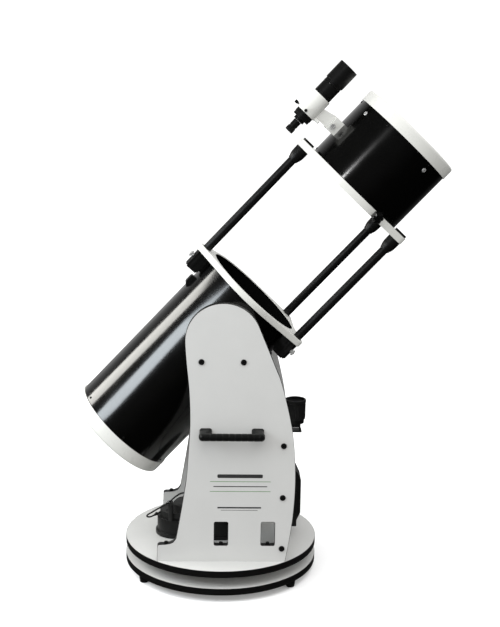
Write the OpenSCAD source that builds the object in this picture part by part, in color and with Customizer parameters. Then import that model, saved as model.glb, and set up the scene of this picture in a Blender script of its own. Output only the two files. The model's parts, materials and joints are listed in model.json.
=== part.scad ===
// Collapsible truss dobsonian telescope, about 10 inch aperture, on a motor driven rocker base.
// Millimetres. Origin on the azimuth axis at floor level, +Z up.
// The tube axis lies in the XZ plane and points up towards +X. The near panel is at -Y.

/* [Base] */
// Diameter of the two round boards
base_d = 524; // [480:2:580]
// Thickness of every board
board_t = 18; // [15:1:20]
// Height of the feet
foot_h = 21; // [10:1:30]
// Clear gap between the two round boards
board_gap = 31; // [20:1:40]
// Outer width over the two side panels
panel_w = 400; // [380:2:420]
// Height of the front board above the rocker board
front_h = 352; // [250:2:360]

/* [Tube] */
// Outside diameter of the tube
tube_d = 292; // [280:1:300]
// Wall of the steel tube
tube_wall = 1.6; // [1:0.2:2.4]
// Altitude angle of the tube as it stands
alt_rest = 47; // [47:1:47]
// Clear diameter of the primary mirror
mirror_d = 254; // [230:2:260]

/* [Truss] */
// Diameter of a truss strut
strut_d = 23; // [20:1:26]
// Distance of each strut from the tube axis
strut_r = 176; // [174:1:178]

/* [Finder] */
// Distance of the finder axis from the tube axis
finder_r = 235; // [232:1:238]
// Diameter of the finder tube
finder_d = 50; // [46:1:52]

/* [Hidden] */

$fn = 96;
base_r = base_d / 2;
band_t = 0.8;
z_g0 = foot_h;
z_g1 = z_g0 + board_t;
z_b0 = z_g1 + board_gap;
z_b1 = z_b0 + board_t;
pw = panel_w / 2;
pin = pw - board_t;
alt_z = 687;
foot_r = 246;
foot_a = [-147, -40.5, 86];
motor_x = -126;
wheel_r = 103.7;
roller_r = 22;
housing_h = 52;
cover_h = 18;
can_x = -92;
can_y = -8;
switch_x = 24;
tr = tube_d / 2;
tri = tr - tube_wall;
sr = strut_d / 2;
strut_a = [8.5, -136.5, 150];
block_bore = sr + 0.5;
s_low = -424;
s_ring0 = 104.3;
s_ring1 = 120.9;
s_up0 = 481;
s_up1 = 500;
s_top = 711.5;
s_vane = 656;
s_foc = 590;
vane_a = 29.65;
foc_a = -80;
knob_a = 114;
find_a = 6;
board_x = 150;
black = [0.05, 0.05, 0.05];
white = [0.84, 0.84, 0.82];
steel = [0.7, 0.7, 0.7];

// Smooth curve through points
function cr(a, b, c, d, t) = 0.5 * (2 * b + (c - a) * t
    + (2 * a - 5 * b + 4 * c - d) * t * t + (3 * b - a - 3 * c + d) * t * t * t);
function smooth(p, n) = concat([for (i = [0:len(p) - 2]) for (k = [0:n - 1])
    cr(p[max(i - 1, 0)], p[i], p[i + 1], p[min(i + 2, len(p) - 1)], k / n)],
    [p[len(p) - 1]]);

// Windows in the panels
window_x = [-1, 122];
window_z = 166.2;
window_w = 38;
window_h = 67.4;
// Panel outline, X and Z
front_edge = [[168, 88], [178, 150], [186, 215], [190, 285], [189.5, 346],
    [184.5, 415], [174, 479], [151, 571], [132.5, 619], [110, 674], [88.2, 726.3]];
rear_edge = [[-96.3, 680], [-94.5, 650], [-91, 612], [-86.5, 570], [-83.5, 520],
    [-82.8, 462], [-86, 400], [-90.5, 330], [-95.5, 290], [-103.5, 237], [-117.5, 153]];
rear_foot = [[-120.5, 147], [-126, 140.5], [-135, 136.5], [-147, 134.5], [-161, 134],
    [-165, 133], [-167, 130]];
panel_pts = concat(smooth(front_edge, 4),
    [for (a = [29:5:179]) [96.5 * cos(a), alt_z + 96.5 * sin(a)]],
    smooth(rear_edge, 3), rear_foot, [[-168, 88]]);

// Frame of the tube: X up and back, Y towards the near panel, Z along the tube
module on_tube()
    translate([0, 0, alt_z])
        rotate([0, 90 - alt_rest, 0])
            rotate([0, 0, 180])
                children();
// Radial frame on the tube: Z outwards, Y around, X towards the mirror
module radial(a, s)
    rotate([0, 0, a])
        translate([0, 0, s])
            rotate([0, 90, 0])
                children();
module ring(r1, r0, h)
    difference() {
        cylinder(r = r1, h = h);
        translate([0, 0, -1])
            cylinder(r = r0, h = h + 2);
    }
module slot2d(w, h, r)
    union() {
        square([w - 2 * r, h], center = true);
        square([w, h - 2 * r], center = true);
        for (x = [-1, 1])
            for (y = [-1, 1])
                translate([x * (w / 2 - r), y * (h / 2 - r)])
                    circle(r = r, $fn = 32);
    }

// ---------- ground part ----------
module ground_board()
    color(white)
        translate([0, 0, z_g0])
            difference() {
                cylinder(r = base_r, h = board_t);
                translate([0, 0, -1])
                    cylinder(r = 6, h = board_t + 2);
            }
module ground_band()
    color(black)
        translate([0, 0, z_g0])
            ring(base_r + band_t, base_r - 0.02, board_t);
module feet()
    color(black)
        for (a = foot_a)
            rotate([0, 0, a])
                translate([foot_r, 0, 0])
                    cylinder(r1 = 11, r2 = 14, h = foot_h);
module azimuth_wheel()
    color(steel)
        difference() {
            union() {
                translate([0, 0, z_g1])
                    cylinder(r = wheel_r, h = 22);
                translate([0, 0, z_g1 + 22])
                    cylinder(r = 92, h = board_gap - 22.1);
            }
            translate([0, 0, z_g1 - 1])
                cylinder(r = 6, h = board_gap + 2);
        }
module pivot_bolt()
    color(steel)
        union() {
            translate([0, 0, z_g0 - 7])
                cylinder(r = 10, h = 7);
            translate([0, 0, z_g0 - 1])
                cylinder(r = 6, h = z_b1 + 17 - z_g0);
            translate([0, 0, z_b1 + 0.2])
                cylinder(r = 15, h = 2);
            translate([0, 0, z_b1 + 2])
                cylinder(r = 10.5, h = 10, $fn = 6);
        }

// ---------- rocker ----------
module base_board()
    color(white)
        translate([0, 0, z_b0])
            difference() {
                cylinder(r = base_r, h = board_t);
                translate([0, 0, -1])
                    cylinder(r = 6.06, h = board_t + 2);
                translate([motor_x, 0, -1])
                    cylinder(r = 5.06, h = board_t + 2);
            }
module base_band()
    color(black)
        translate([0, 0, z_b0])
            ring(base_r + band_t, base_r - 0.02, board_t);
module panel2d()
    difference() {
        polygon(panel_pts);
        for (x = window_x)
            translate([x, window_z])
                slot2d(window_w, window_h, 5);
    }
module panel_at(y0)
    translate([0, y0 + board_t, 0])
        rotate([90, 0, 0])
            linear_extrude(height = board_t)
                children();
module side_panel_near()
    color(white)
        panel_at(-pw)
            panel2d();
module side_panel_far()
    color(white)
        panel_at(pin)
            panel2d();
module panel_bands()
    color(black)
        for (y0 = [-pw, pin]) {
            difference() {
                panel_at(y0)
                    difference() {
                        offset(delta = band_t)
                            polygon(panel_pts);
                        offset(delta = -0.02)
                            polygon(panel_pts);
                    }
                translate([-300, y0 - 5, z_b1 - 20])
                    cube([600, board_t + 10, 20.05]);
            }
            for (x = window_x)
                panel_at(y0)
                    translate([x, window_z])
                        difference() {
                            slot2d(window_w + 0.04, window_h + 0.04, 5);
                            slot2d(window_w - 2 * band_t, window_h - 2 * band_t, 4.2);
                        }
        }
module front_board()
    color(white)
        translate([board_x, -pin, z_b1])
            cube([board_t, 2 * pin, front_h]);
module handle_one()
    union() {
        for (x = [-43, 91])
            translate([x, 0, 443])
                rotate([90, 0, 0])
                    union() {
                        linear_extrude(height = 16)
                            slot2d(32, 26, 6);
                        translate([0, 0, 15])
                            linear_extrude(height = 24)
                                slot2d(24, 20, 5);
                    }
        translate([24, -32, 442])
            rotate([0, 90, 0])
                translate([0, 0, -74])
                    cylinder(r = 10, h = 148);
        for (x = [-50, 98])
            translate([x, -32, 442])
                sphere(r = 10);
    }
module carry_handles()
    color(black) {
        translate([0, -pw, 0])
            handle_one();
        translate([0, pw, 0])
            mirror([0, 1, 0])
                handle_one();
    }
module bolt_cap(x, z)
    for (s = [-1, 1])
        translate([x, s * pw, z])
            rotate([s * -90, 0, 0])
                union() {
                    cylinder(r = 7.7, h = 2.4);
                    translate([0, 0, 2.3])
                        cylinder(r1 = 7.7, r2 = 5.2, h = 1.4);
                }
module foot_bolt(x, z)
    for (s = [-1, 1])
        translate([x, s * (pw - board_t / 2), z])
            union() {
                cylinder(r = 7.5, h = 1.5);
                cylinder(r = 5, h = 6.5);
            }
module panel_bolts()
    color(black) {
        bolt_cap(-55.5, 632);
        bolt_cap(52, 632);
        bolt_cap(159, 409);
        bolt_cap(159, 267);
        bolt_cap(159, 125);
        foot_bolt(-145, 134.4);
        foot_bolt(-1, 132.5);
        foot_bolt(122, 132.5);
    }
// Drive housing on the rocker board: round at the motor, wider round at the pivot
module housing2d(r1, r2)
    hull() {
        translate([motor_x, 0])
            circle(r = r1, $fn = 64);
        circle(r = r2, $fn = 64);
    }
module azimuth_housing()
    color(black)
        translate([0, 0, z_b1])
            difference() {
                union() {
                    linear_extrude(height = 12)
                        housing2d(55, 64);
                    linear_extrude(height = housing_h)
                        housing2d(50.5, 60);
                }
                translate([0, 0, -1])
                    linear_extrude(height = housing_h - 2)
                        housing2d(47.5, 57);
                translate([motor_x, 0, 40])
                    cylinder(r = 31, h = 20);
            }
// Low cover, the taller round can over the motor and the post that holds the cable
module azimuth_cover()
    color([0.25, 0.25, 0.25])
        translate([0, 0, z_b1 + housing_h])
            difference() {
                union() {
                    linear_extrude(height = cover_h)
                        housing2d(43, 48);
                    translate([can_x, can_y, 0])
                        cylinder(r = 40, h = 38);
                    translate([can_x, can_y, 37.9])
                        cylinder(r1 = 37, r2 = 34.5, h = 5);
                    translate([motor_x - 12, -46, 0])
                        cylinder(r = 7, h = 48);
                    translate([motor_x - 18, -59, 47])
                        cube([12, 16, 9.5]);
                }
                translate([0, 0, -1])
                    linear_extrude(height = cover_h - 2)
                        housing2d(40, 45);
                translate([can_x, can_y, -1])
                    cylinder(r = 37, h = 36);
                translate([switch_x - 10, -9, cover_h - 10])
                    cube([20, 18, 14]);
                translate([switch_x, 12, cover_h - 1.5])
                    rotate([90, 0, 0])
                        cylinder(r = 1.06, h = 24);
            }
module azimuth_motor()
    color(steel)
        difference() {
            union() {
                translate([motor_x, 0, z_b1 + 20])
                    cylinder(r = 30, h = 46);
                translate([can_x, can_y, z_b1 + housing_h + 2])
                    cylinder(r = 30, h = 31);
                translate([motor_x - 35, -20, z_b1 + 0.1])
                    cube([70, 40, 20]);
            }
            translate([motor_x, 0, z_b1 - 1])
                cylinder(r = 5.06, h = 50);
        }
module azimuth_roller()
    color(steel)
        translate([motor_x, 0, z_g1 + 2])
            union() {
                cylinder(r = roller_r, h = 20);
                cylinder(r = 5, h = 92);
            }
module power_switch()
    color(black)
        translate([switch_x, 0, z_b1 + housing_h + cover_h])
            rotate([90, 0, 0])
                union() {
                    linear_extrude(height = 14, center = true)
                        polygon([[-8, 2.2], [-8, -1], [-4, -4], [4, -4], [8, -1], [8, 1.4],
                            [0, 0.4]]);
                    translate([0, -1.5, 0])
                        cylinder(r = 1, h = 22, center = true);
                }
module altitude_housing()
    color(black)
        difference() {
            union() {
                translate([0, -pin, alt_z])
                    rotate([-90, 0, 0])
                        cylinder(r = 62, h = 24);
                translate([-62, -pin, 600])
                    cube([124, 24, 87]);
                translate([-36, -pin, 560])
                    cube([72, 22, 44]);
            }
            translate([0, -pin + 1, alt_z])
                rotate([-90, 0, 0])
                    cylinder(r = 20.06, h = 30);
        }
module altitude_bearing()
    color(black)
        difference() {
            union() {
                translate([0, pin - 24, alt_z])
                    rotate([-90, 0, 0])
                        cylinder(r = 62, h = 24);
                translate([-62, pin - 24, 612])
                    cube([124, 24, 75]);
            }
            translate([0, pin - 31, alt_z])
                rotate([-90, 0, 0])
                    cylinder(r = 20.06, h = 30);
        }

// Cable from the drive housing, out in a loop, past its clip and up the near panel
cable_r = 2.2;
cable_pts = [[-160, -6, 149], [-168, -8, 148], [-176, -12, 146], [-184, -20, 144.5],
    [-192, -29, 143.5], [-199, -36, 145], [-203.5, -42, 149.5], [-200.5, -46, 156],
    [-190, -49.5, 164], [-174, -52, 175], [-159, -53.5, 184], [-148, -54, 190.5],
    [-139, -54.5, 198.5], [-130, -56, 208], [-121, -60, 217], [-110, -67, 226],
    [-98, -79, 232.5], [-86, -98, 236], [-74, -122, 237], [-62, -148, 240],
    [-54, -165, 251], [-50, -173, 273], [-48, -175.5, 302], [-46, -175.5, 332],
    [-44, -175.5, 362], [-41.5, -175.5, 392], [-39, -175.5, 422], [-36, -175.5, 452],
    [-33, -175.5, 482], [-30, -175.3, 511], [-27, -174.5, 538], [-25, -173, 563]];
cable_path = smooth(cable_pts, 2);
function unit(v) = v / norm(v);
function tangent(p, i) = unit(p[min(i + 1, len(p) - 1)] - p[max(i - 1, 0)]);
module drive_cable() {
    n = len(cable_path);
    k = 8;
    rings = [for (i = [0:n - 1])
        let (t = tangent(cable_path, i))
        let (u = unit(cross(t, [0.35, 0.93, 0.1])))
        let (v = cross(t, u))
        for (j = [0:k - 1])
            cable_path[i] + cable_r * (cos(360 * j / k) * u + sin(360 * j / k) * v)];
    sides = [for (i = [0:n - 2]) for (j = [0:k - 1])
        [i * k + j, (i + 1) * k + j, (i + 1) * k + (j + 1) % k, i * k + (j + 1) % k]];
    color(black)
        polyhedron(points = rings,
            faces = concat(sides, [[for (j = [0:k - 1]) j]],
                [[for (j = [k - 1:-1:0]) (n - 1) * k + j]]));
}

// ---------- handset and spare eyepiece ----------
hs_x = board_x + board_t;
module handset_cradle()
    color(black)
        translate([hs_x, 0, 0])
            difference() {
                translate([0, -44, 122])
                    cube([40, 88, 98]);
                translate([6, -38, 130])
                    cube([50, 76, 100]);
                translate([30, -32, 121])
                    cube([12, 64, 100]);
            }
module handset()
    color(black)
        difference() {
            translate([0, 37, 0])
                rotate([90, 0, 0])
                    linear_extrude(height = 74)
                        polygon([[176, 130.1], [200, 130.1], [208, 137], [218.5, 160],
                            [218.5, 254], [208, 277], [200, 284], [180, 284], [176, 280]]);
            translate([216.2, -25, 165])
                cube([5, 50, 52]);
            translate([217.5, -22, 224])
                cube([5, 44, 20]);
        }
module keypad()
    color([0.3, 0.3, 0.32])
        union() {
            translate([217.1, -24.6, 165.4])
                cube([1.6, 49.2, 51.2]);
            for (y = [-15, 0, 15])
                for (z = [174, 191, 208])
                    translate([218.6, y, z])
                        rotate([0, 90, 0])
                            cylinder(r = 4.6, h = 1.2, $fn = 32);
        }
rack_x = 200;
module eyepiece_rack()
    color(black)
        difference() {
            union() {
                translate([hs_x, -17, 382])
                    cube([5, 34, 30]);
                translate([hs_x, -15, 399.5])
                    cube([46.5, 30, 10.6]);
                translate([hs_x, -15, 385])
                    cube([50, 30, 4.5]);
                translate([0, 15, 0])
                    rotate([90, 0, 0])
                        linear_extrude(height = 30)
                            polygon([[218, 385], [214.5, 400], [210.5, 400], [213, 389]]);
                translate([rack_x, 0, 410])
                    cylinder(r = 24.5, h = 10.6);
                translate([rack_x, 0, 420])
                    cylinder(r = 22.3, h = 18);
            }
            translate([rack_x, 0, 411])
                cylinder(r = 16.3, h = 40);
        }
module spare_eyepiece()
    color(black)
        translate([rack_x, 0, 0])
            difference() {
                union() {
                    translate([0, 0, 421])
                        cylinder(r = 29, h = 51);
                    translate([0, 0, 471.9])
                        cylinder(r1 = 29, r2 = 27.6, h = 4);
                }
                translate([0, 0, 420])
                    difference() {
                        cylinder(r = 23, h = 20);
                        translate([0, 0, -1])
                            cylinder(r = 15.87, h = 22);
                    }
                translate([0, 0, 474.4])
                    cylinder(r = 24.5, h = 3);
            }

// ---------- lower tube ----------
module lower_tube()
    color(black)
        on_tube()
            translate([0, 0, -400])
                ring(tr, tri, 518);
module lower_end_ring()
    color(white)
        on_tube()
            rotate_extrude($fn = 128)
                polygon([[tr - 0.05, -387], [148.2, -387], [148.2, -418], [147.4, -421.6],
                    [145, -424], [139, -424], [138, -423], [138, -413], [90, -413],
                    [90, -408], [tr - 0.05, -408]]);
module primary_mirror()
    color([0.75, 0.8, 0.85])
        on_tube()
            rotate_extrude($fn = 128)
                polygon([[0, -378], [mirror_d / 2, -378], [mirror_d / 2, -350],
                    [110, -350.8], [90, -351.7], [66, -352.5], [36, -353.1], [0, -353.4]]);
module mirror_cell()
    color(black)
        on_tube()
            difference() {
                union() {
                    translate([0, 0, -398])
                        cylinder(r = 138, h = 10);
                    for (a = [30, 150, 270])
                        rotate([0, 0, a]) {
                            translate([80, 0, -390])
                                cylinder(r = 10, h = 11.9);
                            translate([128, -10, -390])
                                cube([9, 20, 44]);
                            translate([120, -8, -349.6])
                                cube([12, 16, 4]);
                        }
                }
                for (a = [0:60:300])
                    rotate([0, 0, a])
                        translate([58, 0, -400])
                            cylinder(r = 18, h = 14, $fn = 48);
                for (a = [90, 210, 330])
                    rotate([0, 0, a])
                        translate([108, 0, -400])
                            cylinder(r = 3.06, h = 14);
            }
module collimation_knob(a)
    color(black)
        on_tube()
            rotate([0, 0, a])
                translate([108, 0, 0])
                    union() {
                        translate([0, 0, -423])
                            cylinder(r = 9, h = 9.6);
                        for (k = [0:60:300])
                            rotate([0, 0, k])
                                translate([9, 0, -423])
                                    cylinder(r = 3, h = 9.6, $fn = 24);
                        translate([0, 0, -414])
                            cylinder(r = 3, h = 23);
                    }
module lower_end_ring_holed()
    difference() {
        lower_end_ring();
        on_tube()
            for (a = [90, 210, 330])
                rotate([0, 0, a])
                    translate([108, 0, -415])
                        cylinder(r = 3.06, h = 10);
    }
// Truss ring outline: a round ring with three lobes on tangents of its outer circle
ring_r = 150;
ear_r = 20;
ear_t = acos((ring_r - ear_r) / strut_r);
module ear2d(r0)
    difference() {
        union() {
            circle(r = ring_r, $fn = 192);
            for (a = strut_a)
                rotate([0, 0, a]) {
                    translate([strut_r, 0])
                        circle(r = ear_r);
                    polygon([[0, 0], [ring_r * cos(ear_t), -ring_r * sin(ear_t)],
                        [strut_r + ear_r * cos(ear_t), -ear_r * sin(ear_t)],
                        [strut_r + ear_r * cos(ear_t), ear_r * sin(ear_t)],
                        [ring_r * cos(ear_t), ring_r * sin(ear_t)]]);
                }
        }
        circle(r = r0, $fn = 192);
    }
module lower_truss_ring()
    color(white)
        on_tube()
            difference() {
                union() {
                    translate([0, 0, s_ring0])
                        linear_extrude(height = 118 - s_ring0)
                            ear2d(tr - 0.05);
                    translate([0, 0, 118])
                        linear_extrude(height = s_ring1 - 118)
                            ear2d(141.5);
                }
                for (a = strut_a)
                    rotate([0, 0, a])
                        translate([strut_r, 0, s_ring0 - 1])
                            cylinder(r = block_bore, h = 20);
            }
module strut_stop()
    translate([0, 7, 0])
        rotate([90, 0, 0])
            linear_extrude(height = 14)
                polygon([[tr - 0.4, 8], [tr + 10, 18], [tr + 11, 22], [tr + 11, 40],
                    [tr + 8, 43], [tr - 0.4, 43]]);
module clamp_blocks()
    color(black)
        on_tube()
            for (a = strut_a)
                rotate([0, 0, a]) {
                    strut_stop();
                    difference() {
                        union() {
                            translate([strut_r, 0, 56])
                                cylinder(r = sr + 3, h = s_ring0 - 56);
                            translate([153, -13, 56])
                                cube([36, 26, s_ring0 - 56]);
                            translate([156, -12, 52])
                                cube([30, 24, 5]);
                            translate([tr - 1.5, -9, 62])
                                cube([9, 18, s_ring0 - 62]);
                        }
                        translate([strut_r, 0, 50])
                            cylinder(r = block_bore, h = 60);
                        translate([0, 0, 50])
                            cylinder(r = tr, h = 60, $fn = 192);
                        translate([strut_r, 0, 84])
                            rotate([0, 90, 0])
                                cylinder(r = 3.06, h = 40);
                    }
                }
module clamp_screw(a)
    color(steel)
        on_tube()
            rotate([0, 0, a])
                translate([0, 0, 84])
                    rotate([0, 90, 0])
                        union() {
                            translate([0, 0, strut_r + sr + 0.4])
                                cylinder(r = 3, h = 10);
                            translate([0, 0, strut_r + sr + 3])
                                cylinder(r = 5, h = 3);
                            translate([0, 0, strut_r + sr + 7.5])
                                cylinder(r = 8.5, h = 4.5);
                            translate([0, 0, strut_r + sr + 11])
                                cylinder(r = 4, h = 3);
                        }
module trunnions()
    color(black)
        on_tube()
            for (s = [-1, 1])
                rotate([s * 90, 0, 0])
                    difference() {
                        union() {
                            translate([0, 0, 128])
                                cylinder(r = 56, h = 28);
                            translate([0, 0, 155])
                                cylinder(r = 20, h = 24);
                        }
                        rotate([s * -90, 0, 0])
                            translate([0, 0, -80])
                                cylinder(r = tr - 0.02, h = 160, $fn = 192);
                    }

// ---------- truss and upper cage ----------
module struts()
    color(black)
        on_tube()
            for (a = strut_a)
                rotate([0, 0, a])
                    translate([strut_r, 0, 54])
                        difference() {
                            cylinder(r = sr, h = s_up0 + 8 - 54);
                            for (s = [-1, 1])
                                translate([-1.6, s * (sr + 0.6) - 1.5, -1])
                                    cube([3.2, 3, s_up0 - 54 - 38]);
                        }
module strut_sockets()
    color(black)
        on_tube()
            for (a = strut_a)
                rotate([0, 0, a]) {
                    translate([strut_r, 0, 0])
                        rotate_extrude()
                            polygon([[sr - 0.02, 442], [13.4, 442], [14, 446], [16.6, 453],
                                [17.8, 459], [18.3, 468], [18.4, s_up0], [sr - 0.02, s_up0]]);
                    translate([strut_r - 14, -15, s_up1])
                        cube([28, 30, 6]);
                }
module upper_truss_ring()
    color(white)
        on_tube()
            difference() {
                union() {
                    translate([0, 0, s_up0])
                        linear_extrude(height = 3)
                            ear2d(141.5);
                    translate([0, 0, s_up0 + 3])
                        linear_extrude(height = s_up1 - s_up0 - 3)
                            ear2d(tr - 0.05);
                }
                for (a = strut_a)
                    rotate([0, 0, a])
                        translate([strut_r, 0, s_up0 - 1])
                            cylinder(r = sr - 0.02, h = 9.5);
                radial(knob_a, s_up0 + 9.5)
                    translate([0, 0, 140])
                        cylinder(r = 4.06, h = 20);
            }
module ring_knob()
    color(black)
        on_tube()
            radial(knob_a, s_up0 + 9.5)
                union() {
                    translate([0, 0, tr + 0.4])
                        cylinder(r = 4, h = 12);
                    translate([0, 0, 152])
                        cylinder(r = 8, h = 6);
                    translate([0, 0, 157])
                        cylinder(r = 12.5, h = 19);
                    for (k = [0:60:300])
                        rotate([0, 0, k])
                            translate([11.4, 0, 158.5])
                                cylinder(r = 4.4, h = 16, $fn = 32);
                }
module upper_tube()
    color(black)
        on_tube()
            difference() {
                translate([0, 0, s_up0 + 3.2])
                    ring(tr, tri, 700 - s_up0 - 3.2);
                radial(foc_a, s_foc)
                    translate([0, 0, 120])
                        cylinder(r = 29.5, h = 60);
            }
module upper_end_ring()
    color(white)
        on_tube()
            rotate_extrude($fn = 128)
                polygon([[tr - 0.05, 679], [148.2, 679], [148.2, 705], [147.6, 708.6],
                    [145.6, 711], [143, s_top], [140.4, 711.2], [139, 709.4], [139, 700.05],
                    [tr - 0.05, 700.05]]);
module spider()
    color(black)
        on_tube()
            union() {
                for (k = [0:90:270])
                    rotate([0, 0, vane_a + k])
                        translate([15, -0.8, s_vane - 12])
                            cube([tri - 15.05, 1.6, 24]);
                translate([0, 0, s_vane - 20])
                    cylinder(r = 19, h = 36);
                translate([0, 0, s_vane - 33])
                    cylinder(r = 6, h = 16);
                difference() {
                    translate([0, 0, 560])
                        cylinder(r = 27, h = 66);
                    translate([0, 0, s_foc])
                        rotate([0, 0, foc_a])
                            rotate([0, 135, 0])
                                translate([-80, -80, -7.9])
                                    cube([160, 160, 160]);
                }
            }
module secondary_mirror()
    color([0.75, 0.8, 0.85])
        on_tube()
            intersection() {
                translate([0, 0, 540])
                    cylinder(r = 29, h = 100);
                translate([0, 0, s_foc])
                    rotate([0, 0, foc_a])
                        rotate([0, 135, 0])
                            translate([-80, -80, -7.9])
                                cube([160, 160, 7.9]);
            }
module cage_screws()
    color(steel)
        on_tube() {
            for (k = [0:90:270])
                radial(vane_a + k, s_vane)
                    translate([0, 0, tr - 0.6])
                        cylinder(r = 5.6, h = 3, $fn = 48);
            for (a = [0:60:300])
                for (s = [672.5, 507])
                    radial(a, s)
                        translate([0, 0, tr - 0.6])
                            cylinder(r = 3.4, h = 2.4, $fn = 32);
        }
module focuser_base()
    color(black)
        on_tube()
            difference() {
                radial(foc_a, s_foc)
                    difference() {
                        union() {
                            translate([0, 0, 120])
                                cylinder(r = 39, h = 30);
                            translate([-52, -22, 128])
                                cube([52, 44, 48]);
                            translate([0, 0, 149])
                                cylinder(r = 33, h = 30);
                        }
                        translate([0, 0, 100])
                            cylinder(r = 28.5, h = 100);
                        translate([-38, 30, 165])
                            rotate([90, 0, 0])
                                cylinder(r = 4.06, h = 60);
                        translate([-38, 7, 165])
                            rotate([90, 0, 0])
                                cylinder(r = 10.4, h = 14);
                    }
                cylinder(r = tr - 0.02, h = 800, $fn = 192);
            }
module focus_knobs()
    color(black)
        on_tube()
            radial(foc_a, s_foc)
                translate([-38, 0, 165])
                    rotate([90, 0, 0])
                        union() {
                            translate([0, 0, -46])
                                cylinder(r = 4, h = 92);
                            translate([0, 0, -6])
                                cylinder(r = 9.7, h = 12);
                            for (s = [-1, 1])
                                translate([0, 0, s * 34 - 8])
                                    cylinder(r = 17, h = 16);
                            translate([0, 0, 42])
                                cylinder(r = 9, h = 12);
                        }
module drawtube()
    color(steel)
        on_tube()
            radial(foc_a, s_foc)
                difference() {
                    union() {
                        translate([0, 0, 152])
                            cylinder(r = 28, h = 78);
                        translate([0, 0, 228])
                            cylinder(r = 31.5, h = 14);
                        translate([0, -36, 235])
                            rotate([90, 0, 0])
                                cylinder(r = 5, h = 6);
                        translate([0, -29, 235])
                            rotate([90, 0, 0])
                                cylinder(r = 2.5, h = 10);
                    }
                    translate([0, 0, 150])
                        cylinder(r = 25.8, h = 100);
                }
module eyepiece()
    color(black)
        on_tube()
            radial(foc_a, s_foc)
                difference() {
                    union() {
                        translate([0, 0, 212])
                            cylinder(r = 25.4, h = 31);
                        translate([0, 0, 242.2])
                            cylinder(r = 29, h = 8);
                        translate([0, 0, 250])
                            cylinder(r1 = 27, r2 = 24, h = 34);
                        translate([0, 0, 283])
                            cylinder(r = 26, h = 12);
                    }
                    translate([0, 0, 211])
                        cylinder(r = 22.5, h = 20);
                    translate([0, 0, 288])
                        cylinder(r1 = 13, r2 = 21, h = 8);
                }

// ---------- finder ----------
bracket_gap = 0.7;
bracket_r = finder_d / 2 + 3.2;
module at_finder()
    on_tube()
        rotate([0, 0, find_a])
            translate([finder_r, 0, 0])
                children();
module finder_shoe()
    color(white)
        on_tube()
            difference() {
                rotate([0, 0, find_a])
                    difference() {
                        translate([140, -21, 560])
                            cube([32, 42, 40]);
                        translate([156, 0, 559])
                            linear_extrude(height = 42)
                                polygon([[0, -14.5], [0, 14.5], [17, 12.5], [17, -12.5]]);
                        translate([165, 10, 576])
                            rotate([-90, 0, 0])
                                cylinder(r = 2.06, h = 20);
                    }
                translate([0, 0, 500])
                    cylinder(r = tr - 0.02, h = 200, $fn = 192);
            }
module shoe_screw()
    color(steel)
        on_tube()
            rotate([0, 0, find_a])
                translate([165, 0, 576])
                    rotate([-90, 0, 0])
                        union() {
                            translate([0, 0, 14])
                                cylinder(r = 2, h = 12);
                            translate([0, 0, 22])
                                cylinder(r = 6.5, h = 8);
                            for (k = [0:45:315])
                                rotate([0, 0, k])
                                    translate([6, 0, 22.5])
                                        cylinder(r = 1.2, h = 7, $fn = 16);
                        }
module finder_bracket()
    color(white)
        on_tube()
            rotate([0, 0, find_a])
                difference() {
                    union() {
                        translate([156, 0, 562])
                            linear_extrude(height = 36)
                                polygon([[0.4, -14], [0.4, 14], [17.4, 12], [17.4, -12]]);
                        translate([173, 13, 0])
                            rotate([90, 0, 0])
                                linear_extrude(height = 26)
                                    polygon([[-1, 562], [40, 561], [40, 591], [34, 591], [-1, 599]]);
                        translate([finder_r, 0, 551])
                            cylinder(r = bracket_r, h = 60);
                        translate([finder_r, 0, 556.5])
                            rotate([0, 90, 155])
                                translate([0, 0, 26.5])
                                    cylinder(r = 4, h = 15.5);
                    }
                    translate([finder_r, 0, 550])
                        cylinder(r = finder_d / 2 + bracket_gap, h = 70);
                    for (a = [15, -73])
                        translate([finder_r, 0, 556.5])
                            rotate([0, 90, -a])
                                translate([0, 0, 20])
                                    cylinder(r = 2.06, h = 20);
                }
module finder_tube()
    color(black)
        at_finder()
            union() {
                translate([0, 0, 540])
                    cylinder(r = finder_d / 2, h = 118);
                translate([0, 0, 532])
                    cylinder(r = 24, h = 16);
                translate([0, 0, 524])
                    cylinder(r = 15, h = 9);
                translate([0, 0, 607])
                    cylinder(r = finder_d / 2 + bracket_gap - 0.02, h = 3.8);
            }
module dew_shield()
    color(black)
        at_finder()
            difference() {
                translate([0, 0, 656])
                    cylinder(r = 27.3, h = 55);
                translate([0, 0, 655])
                    cylinder(r = 25.06, h = 9);
                translate([0, 0, 670])
                    cylinder(r = 24.6, h = 60);
            }
module finder_eyepiece()
    color(black)
        at_finder()
            difference() {
                union() {
                    translate([0, 0, 488])
                        cylinder(r = 10.7, h = 35.8);
                    translate([0, 0, 490])
                        cylinder(r = 11.4, h = 10);
                }
                translate([0, 0, 487])
                    cylinder(r1 = 8, r2 = 5, h = 5);
            }
module adjust_screw(a)
    color(black)
        at_finder()
            translate([0, 0, 556.5])
                rotate([0, 0, -a])
                    rotate([0, 90, 0])
                        union() {
                            translate([0, 0, finder_d / 2 + 0.3])
                                cylinder(r = 2, h = 12);
                            translate([0, 0, 33.5])
                                cylinder(r = 4.2, h = 7.5);
                        }

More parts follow.
